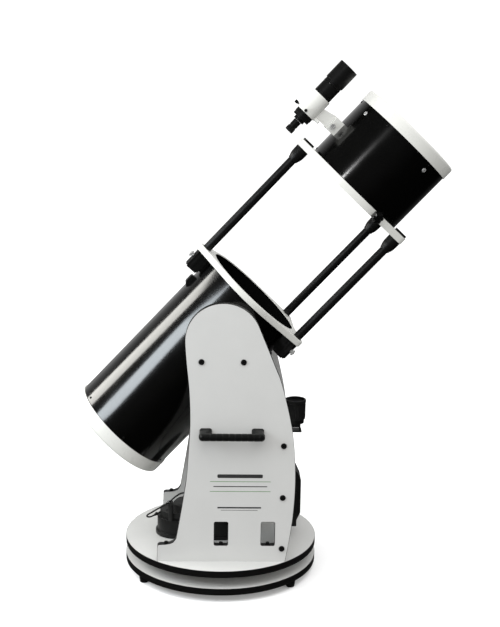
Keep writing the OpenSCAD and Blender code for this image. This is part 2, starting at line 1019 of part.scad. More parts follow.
ground_board();
ground_band();
feet();
azimuth_wheel();
pivot_bolt();
base_board();
base_band();
side_panel_near();
side_panel_far();
panel_bands();
front_board();
carry_handles();
panel_bolts();
azimuth_housing();
azimuth_cover();
azimuth_motor();
azimuth_roller();
power_switch();
altitude_housing();
altitude_bearing();
drive_cable();
handset_cradle();
handset();
keypad();
eyepiece_rack();
spare_eyepiece();
lower_tube();
lower_end_ring_holed();  // lower_end_ring
primary_mirror();
mirror_cell();
collimation_knob(90);  // collimation_knob_a
collimation_knob(210);  // collimation_knob_b
collimation_knob(330);  // collimation_knob_c
lower_truss_ring();
clamp_blocks();
clamp_screw(strut_a[0]);  // clamp_screw_a
clamp_screw(strut_a[1]);  // clamp_screw_b
clamp_screw(strut_a[2]);  // clamp_screw_c
trunnions();
struts();
strut_sockets();
upper_truss_ring();
ring_knob();
upper_tube();
upper_end_ring();
spider();
secondary_mirror();
cage_screws();
focuser_base();
drawtube();
focus_knobs();
eyepiece();
finder_shoe();
shoe_screw();
finder_bracket();
finder_tube();
dew_shield();
finder_eyepiece();
adjust_screw(15);  // adjust_screw_a
adjust_screw(-73);  // adjust_screw_b
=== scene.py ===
"""Looks of the collapsible dobsonian telescope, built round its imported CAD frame.

Metres, +Z up, origin on the azimuth axis at floor level. The tube axis lies in the XZ plane.
"""
import json
import math

import bmesh
import bpy
from mathutils import Matrix, Vector

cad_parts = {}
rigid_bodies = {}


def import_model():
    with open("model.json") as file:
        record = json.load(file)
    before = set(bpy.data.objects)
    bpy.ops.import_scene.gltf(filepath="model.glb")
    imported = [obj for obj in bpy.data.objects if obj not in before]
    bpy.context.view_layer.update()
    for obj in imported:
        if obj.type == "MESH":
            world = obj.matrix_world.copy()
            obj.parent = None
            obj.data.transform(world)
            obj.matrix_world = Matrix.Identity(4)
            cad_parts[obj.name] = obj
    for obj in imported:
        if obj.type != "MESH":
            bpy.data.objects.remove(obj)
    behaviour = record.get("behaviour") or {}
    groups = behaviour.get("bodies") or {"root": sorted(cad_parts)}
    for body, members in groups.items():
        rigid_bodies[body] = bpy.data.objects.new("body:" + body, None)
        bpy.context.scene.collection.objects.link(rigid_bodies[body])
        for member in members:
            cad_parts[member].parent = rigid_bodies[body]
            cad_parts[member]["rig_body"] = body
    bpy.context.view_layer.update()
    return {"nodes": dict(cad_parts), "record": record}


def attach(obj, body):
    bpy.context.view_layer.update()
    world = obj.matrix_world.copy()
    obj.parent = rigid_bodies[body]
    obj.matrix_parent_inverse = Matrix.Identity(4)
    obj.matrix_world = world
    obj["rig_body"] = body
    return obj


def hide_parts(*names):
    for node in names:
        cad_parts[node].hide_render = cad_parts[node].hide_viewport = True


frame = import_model()
MM = 0.001


# ---------------------------------------------------------------- camera
# The viewpoint is 3.2 m in front of the near panel, a little above the tube's middle.
CAMERA_PLACE = Vector((-0.0256, -3.1943, 1.4413))
CAMERA_YAW = math.radians(-1.745)
CAMERA_PITCH = math.radians(-12.823)
CAMERA_ROLL = math.radians(0.95)
CAMERA_LENS = 70.09


def make_camera():
    data = bpy.data.cameras.new("camera")
    data.lens = CAMERA_LENS
    data.sensor_width = 36.0
    camera = bpy.data.objects.new("camera", data)
    bpy.context.scene.collection.objects.link(camera)
    turn = Matrix.Rotation(CAMERA_YAW, 4, "Z") @ Matrix.Rotation(math.pi / 2 + CAMERA_PITCH, 4, "X")
    camera.matrix_world = Matrix.Translation(CAMERA_PLACE) @ turn @ Matrix.Rotation(CAMERA_ROLL, 4, "Z")
    bpy.context.scene.camera = camera


make_camera()


# ---------------------------------------------------------------- node and mesh helpers
def link(tree, source, target):
    tree.links.new(source, target)


def node(tree, kind, **values):
    made = tree.nodes.new(kind)
    for key, value in values.items():
        if key in made.inputs:
            made.inputs[key].default_value = value
        else:
            setattr(made, key, value)
    return made


def varied(tree, coords, scale, low, high, detail=4.0, stretch=(1, 1, 1)):
    """A number that wanders between low and high over the surface."""
    mapping = node(tree, "ShaderNodeMapping")
    mapping.inputs["Scale"].default_value = stretch
    link(tree, coords, mapping.inputs["Vector"])
    noise = node(tree, "ShaderNodeTexNoise", Scale=scale, Detail=detail, Roughness=0.6)
    link(tree, mapping.outputs["Vector"], noise.inputs["Vector"])
    spread = node(tree, "ShaderNodeMapRange")
    spread.inputs["From Min"].default_value = 0.3
    spread.inputs["From Max"].default_value = 0.7
    spread.inputs["To Min"].default_value = low
    spread.inputs["To Max"].default_value = high
    link(tree, noise.outputs["Fac"], spread.inputs["Value"])
    return spread.outputs["Result"]


def material(name, colour, rough, metal=0.0, tone=0.06, tone_scale=14.0, rough_spread=0.05,
             grain=900.0, bump=0.05, coat=0.0, stretch=(1, 1, 1), edge=0.0, specular=0.5):
    """A procedural finish: mottled colour, uneven roughness, fine relief and rubbed edges."""
    made = bpy.data.materials.new(name)
    made.use_nodes = True
    tree = made.node_tree
    shader = tree.nodes["Principled BSDF"]
    shader.inputs["Metallic"].default_value = metal
    shader.inputs["Specular IOR Level"].default_value = specular
    shader.inputs["Coat Weight"].default_value = coat
    shader.inputs["Coat Roughness"].default_value = 0.12
    place = node(tree, "ShaderNodeTexCoord").outputs["Object"]
    mix = node(tree, "ShaderNodeMix", data_type="RGBA")
    mix.inputs["A"].default_value = (*[c * (1 - tone) for c in colour], 1)
    mix.inputs["B"].default_value = (*[min(1, c * (1 + tone)) for c in colour], 1)
    link(tree, varied(tree, place, tone_scale, 0, 1, stretch=stretch), mix.inputs["Factor"])
    shown = mix.outputs["Result"]
    if edge:
        shown = rubbed_edges(tree, shown, colour, edge)
    link(tree, shown, shader.inputs["Base Color"])
    link(tree, varied(tree, place, tone_scale * 3.3, rough - rough_spread, rough + rough_spread,
                      stretch=stretch), shader.inputs["Roughness"])
    relief = node(tree, "ShaderNodeBump", Strength=bump, Distance=0.0006)
    link(tree, varied(tree, place, grain, 0, 1, detail=2.0, stretch=stretch), relief.inputs["Height"])
    link(tree, relief.outputs["Normal"], shader.inputs["Normal"])
    return made


def rubbed_edges(tree, base, colour, amount):
    """Lightens a narrow band along the edges, where hands and boxes have rubbed the finish."""
    bevel = node(tree, "ShaderNodeBevel", Radius=0.0012, samples=4)
    geometry = node(tree, "ShaderNodeNewGeometry")
    dot = node(tree, "ShaderNodeVectorMath", operation="DOT_PRODUCT")
    link(tree, bevel.outputs["Normal"], dot.inputs[0])
    link(tree, geometry.outputs["Normal"], dot.inputs[1])
    band = node(tree, "ShaderNodeMapRange")
    band.inputs["From Min"].default_value = 0.995
    band.inputs["From Max"].default_value = 0.8
    band.inputs["To Min"].default_value = 0.0
    band.inputs["To Max"].default_value = amount
    link(tree, dot.outputs["Value"], band.inputs["Value"])
    mix = node(tree, "ShaderNodeMix", data_type="RGBA")
    mix.inputs["B"].default_value = (*[min(1, c * 2.2 + 0.03) for c in colour], 1)
    link(tree, band.outputs["Result"], mix.inputs["Factor"])
    link(tree, base, mix.inputs["A"])
    return mix.outputs["Result"]


def tube_frame():
    """The tube's own frame: X up and back, Y towards the near panel, Z along the axis."""
    lift = Matrix.Translation((0, 0, ALT_HEIGHT))
    return lift @ Matrix.Rotation(math.radians(90 - TILT), 4, "Y") @ Matrix.Rotation(math.pi, 4, "Z")


def radial(angle, along):
    """A frame on the tube: Z outwards, Y round it, X towards the mirror."""
    turn = Matrix.Rotation(math.radians(angle), 4, "Z") @ Matrix.Translation((0, 0, along))
    return TUBE @ turn @ Matrix.Rotation(math.pi / 2, 4, "Y")


ALT_HEIGHT = 0.687
TILT = 47.0
TUBE = tube_frame()
TUBE_R = 0.146
# In millimetres: half the width over the side panels, the tube's axis to a strut's outer side,
# and the handset's front face
PANEL_HALF = 200
STRUT_SIDE = 187.5
HANDSET_FRONT = 218.5
# In degrees round the tube's axis
STRUT_ANGLES = (8.5, -136.5, 150)
FINDER_ANGLE = 6
VANE_ANGLE = 29.65


def tube_finish(name, outside, inside_colour):
    """Gloss enamel outside and flat black inside, told apart by the distance from the axis."""
    made = material(name, outside, 0.16, tone=0.1, tone_scale=6, rough_spread=0.025,
                    grain=120.0, bump=0.004, coat=0.6, specular=0.5)
    tree = made.node_tree
    shader = tree.nodes["Principled BSDF"]
    place = node(tree, "ShaderNodeTexCoord").outputs["Object"]
    local = node(tree, "ShaderNodeVectorMath", operation="SUBTRACT")
    link(tree, place, local.inputs[0])
    local.inputs[1].default_value = (0, 0, ALT_HEIGHT)
    across = node(tree, "ShaderNodeVectorMath", operation="CROSS_PRODUCT")
    link(tree, local.outputs["Vector"], across.inputs[0])
    across.inputs[1].default_value = TUBE.to_3x3() @ Vector((0, 0, 1))
    reach = node(tree, "ShaderNodeVectorMath", operation="LENGTH")
    link(tree, across.outputs["Vector"], reach.inputs[0])
    inner = node(tree, "ShaderNodeMath", operation="LESS_THAN")
    link(tree, reach.outputs["Value"], inner.inputs[0])
    inner.inputs[1].default_value = TUBE_R - 0.0008
    flat = node(tree, "ShaderNodeBsdfPrincipled", Roughness=0.85)
    flat.inputs["Base Color"].default_value = (*inside_colour, 1)
    flat.inputs["Specular IOR Level"].default_value = 0.15
    both = node(tree, "ShaderNodeMixShader")
    link(tree, inner.outputs["Value"], both.inputs["Fac"])
    link(tree, shader.outputs["BSDF"], both.inputs[1])
    link(tree, flat.outputs["BSDF"], both.inputs[2])
    link(tree, both.outputs["Shader"], tree.nodes["Material Output"].inputs["Surface"])
    return made


FINISH = {
    "white_laminate": material("laminate", (0.52, 0.52, 0.506), 0.44, tone=0.015, grain=1500,
                               bump=0.03),
    "edge_band": material("edge_banding", (0.0025, 0.0025, 0.0023), 0.42, grain=700, bump=0.08,
                          edge=0.15),
    "tube_black": tube_finish("tube_enamel", (0.001, 0.001, 0.0009), (0.0018, 0.0018, 0.0018)),
    "tube_white": material("ring_enamel", (0.6, 0.6, 0.568), 0.3, tone=0.02, grain=420,
                           bump=0.04, coat=0.25),
    "black_plastic": material("black_plastic", (0.0038, 0.0038, 0.0036), 0.4, tone=0.15,
                              grain=1300, bump=0.16, edge=0.3, specular=0.3),
    "grey_plastic": material("grey_plastic", (0.014, 0.014, 0.0135), 0.45, tone=0.08,
                             grain=1300, bump=0.16, edge=0.25, specular=0.3),
    "strut_black": material("strut_anodised", (0.003, 0.003, 0.003), 0.38, tone=0.15,
                            grain=1100, bump=0.05, stretch=(1, 1, 1), edge=0.2),
    "zinc": material("zinc_plate", (0.62, 0.62, 0.62), 0.27, metal=1.0, tone=0.08,
                     grain=900, bump=0.05),
    "chrome": material("polished_chrome", (0.78, 0.78, 0.79), 0.1, metal=1.0, tone=0.03,
                       grain=900, bump=0.01, rough_spread=0.03),
    "mirror": material("aluminised_glass", (0.86, 0.88, 0.9), 0.03, metal=1.0, tone=0.02,
                       grain=500, bump=0.002, rough_spread=0.015),
    "rubber": material("black_rubber", (0.0045, 0.0045, 0.0045), 0.6, tone=0.2, grain=1800,
                       bump=0.2, specular=0.35),
    "key_rubber": material("key_silicone", (0.05, 0.05, 0.052), 0.6, grain=1800, bump=0.1),
}


def paint_frame():
    """Gives every CAD node the finish of its slot in the record."""
    for part in frame["record"]["subparts"]:
        shown = frame["nodes"][part["node"]]
        shown.data.materials.clear()
        shown.data.materials.append(FINISH[part["material_slot"]])


paint_frame()


# ---------------------------------------------------------------- drive cable
CABLE_R = 2.2 * MM
CABLE_ROUTE = [
    (-160, -6, 149), (-168, -8, 148), (-176, -12, 146), (-184, -20, 144.5),
    (-192, -29, 143.5), (-199, -36, 145), (-203.5, -42, 149.5), (-200.5, -46, 156),
    (-190, -49.5, 164), (-174, -52, 175), (-159, -53.5, 184), (-148, -54, 190.5),
    (-139, -54.5, 198.5), (-130, -56, 208), (-121, -60, 217), (-110, -67, 226),
    (-98, -79, 232.5), (-86, -98, 236), (-74, -122, 237), (-62, -148, 240),
    (-54, -165, 251), (-50, -173, 273), (-48, -175.5, 302), (-46, -175.5, 332),
    (-44, -175.5, 362), (-41.5, -175.5, 392), (-39, -175.5, 422), (-36, -175.5, 452),
    (-33, -175.5, 482), (-30, -175.3, 511), (-27, -174.5, 538), (-25, -173, 563)]


def smooth_route(points, steps):
    """A smooth curve through the points, steps samples to each stretch."""
    points = [Vector(p) * MM for p in points]
    last = len(points) - 1
    curve = []
    for i in range(last):
        a, b, c, d = (points[max(0, min(last, i + k))] for k in (-1, 0, 1, 2))
        for k in range(steps):
            t = k / steps
            curve.append(0.5 * (2 * b + (c - a) * t + (2 * a - 5 * b + 4 * c - d) * t * t
                                + (3 * b - a - 3 * c + d) * t ** 3))
    return curve + [points[-1]]


def cord_curve(name, points, radius, finish):
    data = bpy.data.curves.new(name, "CURVE")
    data.dimensions = "3D"
    data.bevel_depth = radius
    data.bevel_resolution = 5
    data.use_fill_caps = True
    spline = data.splines.new("POLY")
    spline.points.add(len(points) - 1)
    for held, place in zip(spline.points, points):
        held.co = (*place, 1)
    data.materials.append(finish)
    made = bpy.data.objects.new(name, data)
    bpy.context.scene.collection.objects.link(made)
    return made


def make_cable():
    path = smooth_route(CABLE_ROUTE, 6)
    cable = cord_curve("cable_run", path, CABLE_R, FINISH["rubber"])
    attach(cable, "rocker")
    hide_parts("drive_cable")


make_cable()


# ---------------------------------------------------------------- mesh code for the pieces
def ring(radius, height, count=48, shape=None):
    """Points round the Z axis; shape gives a factor for the radius at an angle."""
    turns = [2 * math.pi * k / count for k in range(count)]
    reach = [radius * (shape(t) if shape else 1) for t in turns]
    return [Vector((r * math.cos(t), r * math.sin(t), height)) for r, t in zip(reach, turns)]


def lobed(count, depth):
    return lambda t: 1 - depth * (0.5 - 0.5 * math.cos(count * t))


def hexagon(t):
    side = (t + math.pi / 6) % (math.pi / 3) - math.pi / 6
    return math.cos(math.pi / 6) / math.cos(side)


def rounded(width, depth, corner, height, steps=5):
    """A rounded rectangle, as a ring of points at one height."""
    points = []
    for quarter, (sx, sy) in enumerate(((1, 1), (-1, 1), (-1, -1), (1, -1))):
        for k in range(steps + 1):
            t = math.pi / 2 * (quarter + k / steps)
            points.append(Vector((sx * (width / 2 - corner) + corner * math.cos(t),
                                  sy * (depth / 2 - corner) + corner * math.sin(t), height)))
    return points


def skin(mesh, place, rings, closed=True):
    """Skins a stack of rings, all of one count, in millimetres in the frame that place gives."""
    made = [[mesh.verts.new(place @ (p * MM)) for p in row] for row in rings]
    for low, high in zip(made, made[1:]):
        for k in range(len(low)):
            j = (k + 1) % len(low)
            mesh.faces.new((low[k], low[j], high[j], high[k]))
    if closed:
        mesh.faces.new(made[0][::-1])
        mesh.faces.new(made[-1])


def turned(mesh, place, profile, count=48, shape=None):
    """A turned solid from (radius, height) pairs, first to last."""
    skin(mesh, place, [ring(r, z, count, shape) for r, z in profile])


def ribbed(mesh, place, profile, ribs, depth, count=None):
    """A turned solid whose rows marked True carry ribs: (radius, height, ribbed)."""
    count = count or ribs * 6
    rows = [ring(r, z, count, lobed(ribs, depth) if grip else None) for r, z, grip in profile]
    skin(mesh, place, rows)


def piece(name, mesh, body, slot, *nodes, finish=None, sharp=38.0):
    """Turns a bmesh into a piece on a body, in a finish, standing for the nodes named."""
    bmesh.ops.recalc_face_normals(mesh, faces=mesh.faces)
    data = bpy.data.meshes.new(name)
    mesh.to_mesh(data)
    mesh.free()
    data.shade_smooth()
    data.set_sharp_from_angle(angle=math.radians(sharp))
    data.materials.append(finish or FINISH[slot])
    made = bpy.data.objects.new(name, data)
    bpy.context.scene.collection.objects.link(made)
    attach(made, body)
    if nodes:
        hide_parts(*nodes)
    return made


def refined(name, bevel, segments=2, limit=34.0):
    """A cleaned copy of a CAD node with small rounded edges, which stands for that node."""
    source = frame["nodes"][name]
    mesh = bmesh.new()
    mesh.from_mesh(source.data)
    bmesh.ops.remove_doubles(mesh, verts=mesh.verts, dist=4e-6)
    bmesh.ops.dissolve_limit(mesh, angle_limit=math.radians(0.6), verts=mesh.verts,
                             edges=mesh.edges)
    corners = [e for e in mesh.edges if len(e.link_faces) == 2
               and e.calc_face_angle(0) > math.radians(limit)]
    bmesh.ops.bevel(mesh, geom=corners, offset=bevel * MM, segments=segments, profile=0.5,
                    affect="EDGES", clamp_overlap=True)
    made = piece("shell_" + name, mesh, source["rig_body"], SLOT_OF[name], name)
    made.modifiers.new("normals", "WEIGHTED_NORMAL").keep_sharp = True
    return made


SLOT_OF = {part["node"]: part["material_slot"] for part in frame["record"]["subparts"]}
SOFTENED = {
    "feet": 1.5, "azimuth_wheel": 1.0, "pivot_bolt": 0.7, "front_board": 0.5,
    "azimuth_housing": 2.5, "azimuth_cover": 1.8, "power_switch": 0.5,
    "altitude_housing": 2.5, "altitude_bearing": 2.5, "handset_cradle": 1.5,
    "eyepiece_rack": 1.0, "lower_end_ring": 0.6, "mirror_cell": 1.0,
    "collimation_knob_a": 0.8, "collimation_knob_b": 0.8, "collimation_knob_c": 0.8,
    "lower_truss_ring": 1.2, "clamp_blocks": 1.3, "trunnions": 1.2, "strut_sockets": 0.6,
    "upper_truss_ring": 1.2, "spider": 0.25, "focuser_base": 1.2, "drawtube": 0.8,
    "finder_shoe": 1.0, "finder_bracket": 0.8, "finder_tube": 0.8, "dew_shield": 0.7}


def spin(angle):
    return Matrix.Rotation(math.radians(angle), 4, "Z")


def shift(x, y, z):
    return Matrix.Translation(Vector((x, y, z)) * MM)


def tilt(angle, axis):
    return Matrix.Rotation(math.radians(angle), 4, axis)


# ---------------------------------------------------------------- fasteners and knobs
def socket_head(mesh, place, rows):
    """A turned head with a hexagon socket; rows run up the outside to the top face."""
    top = rows[-1][1]
    outside = [ring(r, z, 24) for r, z in rows]
    socket = [ring(3.0, top, 24, hexagon), ring(2.9, top - 2.2, 24, hexagon)]
    skin(mesh, place, outside + socket)


def make_panel_bolts():
    mesh = bmesh.new()
    half = PANEL_HALF
    for side in (-1, 1):
        out = tilt(side * -90, "X")
        for x, z in ((-55.5, 632), (52, 632), (159, 409), (159, 267), (159, 125)):
            socket_head(mesh, shift(x, side * half, z) @ out,
                        [(7.7, -0.5), (7.7, 1.6), (7.3, 2.6), (6.3, 3.4), (5.0, 3.7)])
        for x, z in ((-145, 134.4), (-1, 133.2), (122, 133.2)):
            socket_head(mesh, shift(x, side * (half - 9), z),
                        [(7.5, 0), (7.5, 1.3), (7.2, 1.5), (5.1, 1.5), (5.1, 5.6), (4.6, 6.3)])
    piece("panel_bolt_heads", mesh, "rocker", "black_plastic", "panel_bolts")


def pan_screw(mesh, place, radius, height):
    """A low domed head with a cross recess."""
    rows = [ring(radius * r, height * h, 24) for r, h in
            ((1, -0.3), (1, 0.35), (0.94, 0.65), (0.78, 0.88), (0.55, 1.0))]
    cross = ring(radius * 0.5, height, 24, lambda t: 0.42 + 0.58 * abs(math.cos(2 * t)) ** 3)
    floor = ring(radius * 0.44, height * 0.45, 24, lambda t: 0.42 + 0.58 * abs(math.cos(2 * t)) ** 3)
    skin(mesh, place, rows + [cross, floor])


def make_cage_screws():
    vanes = bmesh.new()
    for quarter in range(4):
        place = radial(VANE_ANGLE + 90 * quarter, 0.656) @ shift(0, 0, 145.9)
        pan_screw(vanes, place, 5.6, 2.5)
    piece("vane_screws", vanes, "cage", "zinc", "cage_screws", finish=FINISH["screw_steel"])
    small = bmesh.new()
    for k in range(6):
        for along in (0.6725, 0.507):
            pan_screw(small, radial(60 * k, along) @ shift(0, 0, 145.9), 3.2, 1.8)
    piece("cage_ring_screws", small, "cage", "zinc", "cage_screws", finish=FINISH["black_screw"])
    low = bmesh.new()
    for k in range(6):
        pan_screw(low, radial(30 + 60 * k, -0.3775) @ shift(0, 0, 145.9), 3.2, 1.8)
    piece("trunk_ring_screws", low, "optical_tube", "zinc", finish=FINISH["black_screw"])
    hub = bmesh.new()
    for k in range(3):
        place = TUBE @ spin(30 + 120 * k) @ shift(11.5, 0, 672)
        pan_screw(hub, place, 3.1, 2.2)
    pan_screw(hub, TUBE @ shift(0, 0, 672), 4.2, 2.4)
    piece("hub_screws", hub, "cage", "zinc", finish=FINISH["screw_steel"])


def make_ring_knob():
    mesh = bmesh.new()
    place = radial(114, 0.4905)
    turned(mesh, place, [(4, 146.4), (4, 152), (8, 152), (8, 157.2)], 24)
    grip = lobed(6, 0.26)
    rows = [(10.5, 157), (13.6, 157.6), (15.2, 159.2), (15.8, 161), (15.8, 171.5), (15.2, 173.8),
            (13.8, 175.3), (11.5, 176), (7.5, 176)]
    skin(mesh, place, [ring(r, z, 72, grip) for r, z in rows]
         + [ring(5.6, 176, 72), ring(5.2, 175.2, 72)])
    piece("ring_knob_lobed", mesh, "ring_knob", "black_plastic", "ring_knob",
          finish=FINISH["gloss_plastic"], sharp=50)


def make_clamp_screws():
    """A collar, a neck and a two-winged grip on each clamp."""
    for tag, angle in zip("abc", STRUT_ANGLES):
        mesh = bmesh.new()
        place = TUBE @ spin(angle) @ shift(STRUT_SIDE, 0, 84) @ tilt(90, "Y")
        turned(mesh, place, [(3, 0.4), (3, 3.2), (5, 3.5), (5, 5.6), (3.4, 6), (3.4, 8)], 24)
        wings = [(4.4, 7.5), (7.6, 7.8), (8.4, 9.2), (8.5, 10.6), (7.8, 11.9)]
        skin(mesh, place, [ring(r, z, 32, lobed(2, 0.55)) for r, z in wings]
             + [ring(3.4, 12, 32), ring(3.2, 13.6, 32), ring(2.4, 14, 32)])
        piece("clamp_thumbscrew_" + tag, mesh, "clamp_" + tag, SLOT_OF["clamp_screw_" + tag],
              "clamp_screw_" + tag, finish=FINISH["screw_steel"])


def make_finder_screws():
    mesh = bmesh.new()
    place = TUBE @ spin(FINDER_ANGLE) @ shift(165, 0, 576) @ tilt(-90, "X")
    turned(mesh, place, [(2, 14), (2, 20), (4.4, 20.6), (4.4, 22.4)], 24)
    ribbed(mesh, place, [(6.2, 22, False), (7.1, 22.8, True), (7.1, 29.2, True),
                         (6.2, 30, False), (3.4, 30, False), (3.0, 29, False)], 20, 0.12)
    piece("shoe_thumbscrew", mesh, frame["nodes"]["shoe_screw"]["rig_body"], SLOT_OF["shoe_screw"],
          "shoe_screw", finish=FINISH["screw_steel"])
    for tag, angle in (("a", 15), ("b", -73)):
        mesh = bmesh.new()
        place = TUBE @ spin(FINDER_ANGLE) @ shift(235, 0, 556.5) @ spin(-angle) @ tilt(90, "Y")
        turned(mesh, place, [(2, 25.3), (2, 31), (3.4, 31.2), (3.4, 33.6)], 24)
        ribbed(mesh, place, [(3.6, 33.5, False), (4.2, 34.1, True), (4.2, 40.2, True),
                             (3.6, 41, False), (1.6, 41, False)], 16, 0.13)
        name = "adjust_screw_" + tag
        piece("finder_adjuster_" + tag, mesh, frame["nodes"][name]["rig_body"], SLOT_OF[name], name)


# ---------------------------------------------------------------- handles and small fittings
def make_handles():
    """A moulded grip with finger rings between two swept feet, one on each panel."""
    mesh = bmesh.new()
    for side in (-1, 1):
        face = shift(0, side * PANEL_HALF, 0) @ tilt(90 if side < 0 else -90, "X")
        up = 1 if side < 0 else -1
        for x, lean in ((-43, -7), (91, 7)):
            rows = []
            for out, width, depth, corner in ((-1, 32, 26, 6), (2, 32, 26, 6), (4, 30, 24.4, 6),
                                              (9, 26.5, 22.5, 7), (18, 24, 21, 8), (27, 22.5, 20.4, 8.5),
                                              (34, 20.6, 19.6, 9), (39, 16.5, 16, 7.6),
                                              (41.6, 10, 10, 4.6)):
                part = min(1, max(0, (out - 4) / 26))
                move = Vector((x + lean * part * part * (3 - 2 * part), up * (443 - part), 0))
                rows.append([p + move for p in rounded(width, depth, corner, out)])
            skin(mesh, face, rows)
        bar = face @ shift(24, up * 442, 32) @ tilt(90, "Y")
        rows = [(9.4, -76)]
        for k in range(9):
            z = -64 + 16 * k
            rows += [(9.9, z - 6.6), (9.9, z + 6.6), (9.3, z + 7.2), (9.3, z + 8.8)]
        rows += [(9.4, 76)]
        turned(mesh, bar, rows, 40)
    piece("moulded_handles", mesh, "rocker", "black_plastic", "carry_handles")


def make_spare_eyepiece():
    mesh = bmesh.new()
    place = shift(200, 0, 0)
    ribbed(mesh, place, [(23.2, 421, False), (26.8, 421, False), (27.6, 422, False),
                         (27.6, 426, False), (28.3, 426.6, True), (28.3, 464, True),
                         (27.4, 464.6, False), (27.4, 466.4, False), (28.6, 467, False),
                         (29, 468, False), (29, 474, False), (28.2, 475.6, False),
                         (27, 475.9, False), (25, 475.9, False), (24.2, 475, False),
                         (24.2, 470, False), (14, 468.6, False), (11, 466.5, False)], 40, 0.045, 240)
    turned(mesh, place, [(15.87, 412), (15.87, 421.5)], 40)
    piece("ribbed_eyepiece", mesh, "spare_eyepiece", SLOT_OF["spare_eyepiece"], "spare_eyepiece",
          finish=FINISH["ribbed_rubber"])
    lens("spare_eyepiece_lens", place @ shift(0, 0, 466.4), 11.2, 1.3, "spare_eyepiece")


def lens(name, place, radius, rise, body):
    """A coated lens as a shallow dome on a short cylinder."""
    mesh = bmesh.new()
    dome = [(radius * math.cos(t), rise * math.sin(t)) for t in
            (math.pi / 2 * k / 6 for k in range(6))]
    turned(mesh, place, [(radius, -1.6)] + dome + [(radius * 0.05, rise)], 40)
    piece(name, mesh, body, SLOT_OF["primary_mirror"], finish=FINISH["coated_glass"])


def make_finder_details():
    place = TUBE @ spin(FINDER_ANGLE) @ shift(235, 0, 0)
    body = frame["nodes"]["finder_tube"]["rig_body"]
    own = frame["nodes"]["finder_eyepiece"]["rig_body"]
    mesh = bmesh.new()
    ribbed(mesh, place, [(5.4, 491.6, False), (8.6, 488.6, False), (10, 488, False),
                         (10.7, 489, False), (11.4, 490, True), (11.4, 500, True),
                         (10.6, 500.6, False), (10.6, 503, False), (9.8, 503.4, False),
                         (9.8, 505.2, False), (10.7, 505.8, False), (10.7, 523.8, False)], 30, 0.07)
    piece("finder_eyepiece_ribbed", mesh, own, SLOT_OF["finder_eyepiece"], "finder_eyepiece")
    lens("finder_eye_lens", place @ shift(0, 0, 491.4) @ tilt(180, "X"), 5.6, 0.6, own)
    lens("finder_objective", place @ shift(0, 0, 674), 24.4, 2.6,
         frame["nodes"]["dew_shield"]["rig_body"])
    mesh = bmesh.new()
    for along in (619, 648):
        turned(mesh, place, [(24.6, along - 1.6), (25.5, along - 1.2), (25.7, along),
                             (25.5, along + 1.2), (24.6, along + 1.6)], 64)
    piece("finder_trim_rings", mesh, body, SLOT_OF["finder_tube"], finish=FINISH["gloss_plastic"])


def make_focuser_details():
    place = radial(-80, 0.59)
    mesh = bmesh.new()
    axle = place @ shift(-38, 0, 165) @ tilt(90, "X")
    turned(mesh, axle, [(4, -46), (4, -6.2), (9.7, -6), (9.7, 6), (4, 6.2), (4, 46)], 36)
    for low, high in ((26, 42), (-42, -26)):
        ribbed(mesh, axle, [(12, low, False), (16, low + 0.4, False), (17, low + 1.6, True),
                            (17, high - 1.6, True), (16, high - 0.4, False), (12, high, False),
                            (10, high - 0.6, False)], 30, 0.07)
    ribbed(mesh, axle, [(7.5, 42.5, False), (9, 43.4, True), (9, 52.8, True), (8, 54, False),
                        (4, 54, False)], 22, 0.09)
    piece("focus_wheels", mesh, "focus_knobs", SLOT_OF["focus_knobs"], "focus_knobs")
    mesh = bmesh.new()
    ribbed(mesh, place, [(22.5, 212, False), (25, 212, False), (25.4, 212.8, False),
                         (25.4, 228, False), (24.7, 228.8, False), (24.7, 233, False),
                         (25.4, 233.8, False), (25.4, 242.2, False), (28, 242.2, False),
                         (29, 243, False), (29, 249.4, False), (28.2, 250.2, False),
                         (27, 250.6, False), (26.8, 252, True), (25.2, 275, True),
                         (24.4, 276, False), (24.2, 281.6, False), (25.6, 283, False),
                         (26, 285, False), (25.4, 293.4, False), (24, 295, False),
                         (22, 294.6, False), (19.5, 291, False), (14, 288.8, False)],
           36, 0.05, 216)
    piece("eyepiece_body", mesh, "eyepiece", SLOT_OF["eyepiece"], "eyepiece",
          finish=FINISH["ribbed_rubber"])
    lens("eyepiece_lens", place @ shift(0, 0, 288.6), 13.8, 1.2, "eyepiece")


def make_handset():
    """A shell with a display window and a pocket that its keypad sinks into."""
    refined("handset", 1.2)
    front = shift(HANDSET_FRONT, 0, 0) @ tilt(90, "Y")
    mesh = bmesh.new()
    bezel = [rounded(25, 48, 3, -1.0), rounded(25, 48, 3, 0.5), rounded(23.6, 46.6, 2.6, 0.9),
             rounded(21, 44, 2, 0.9), rounded(20.6, 43.6, 2, 0.2)]
    skin(mesh, front @ shift(-234, 0, 0), bezel)
    piece("handset_bezel", mesh, "handset", SLOT_OF["handset"], finish=FINISH["gloss_plastic"])
    mesh = bmesh.new()
    skin(mesh, front @ shift(-234, 0, 0), [rounded(20.4, 43.4, 2, -0.6), rounded(20.4, 43.4, 2, 0.35)])
    piece("handset_display", mesh, "handset", SLOT_OF["primary_mirror"], finish=FINISH["coated_glass"])
    mesh = bmesh.new()
    skin(mesh, front @ shift(-191, 0, 0), [rounded(51.2, 49.2, 4, -1.4), rounded(51.2, 49.2, 4, 0.0),
                                           rounded(50.4, 48.4, 3.8, 0.2)])
    for row in range(3):
        for column in range(3):
            place = front @ shift(-174 - 17 * row, -15 + 15 * column, 0)
            skin(mesh, place, [rounded(8.6, 8.8, 3.2, 0), rounded(8.6, 8.8, 3.2, 0.8),
                               rounded(7.8, 8.0, 3.0, 1.2), rounded(5.6, 5.8, 2.4, 1.3)])
    piece("keypad_keys", mesh, "keypad", SLOT_OF["keypad"], "keypad")


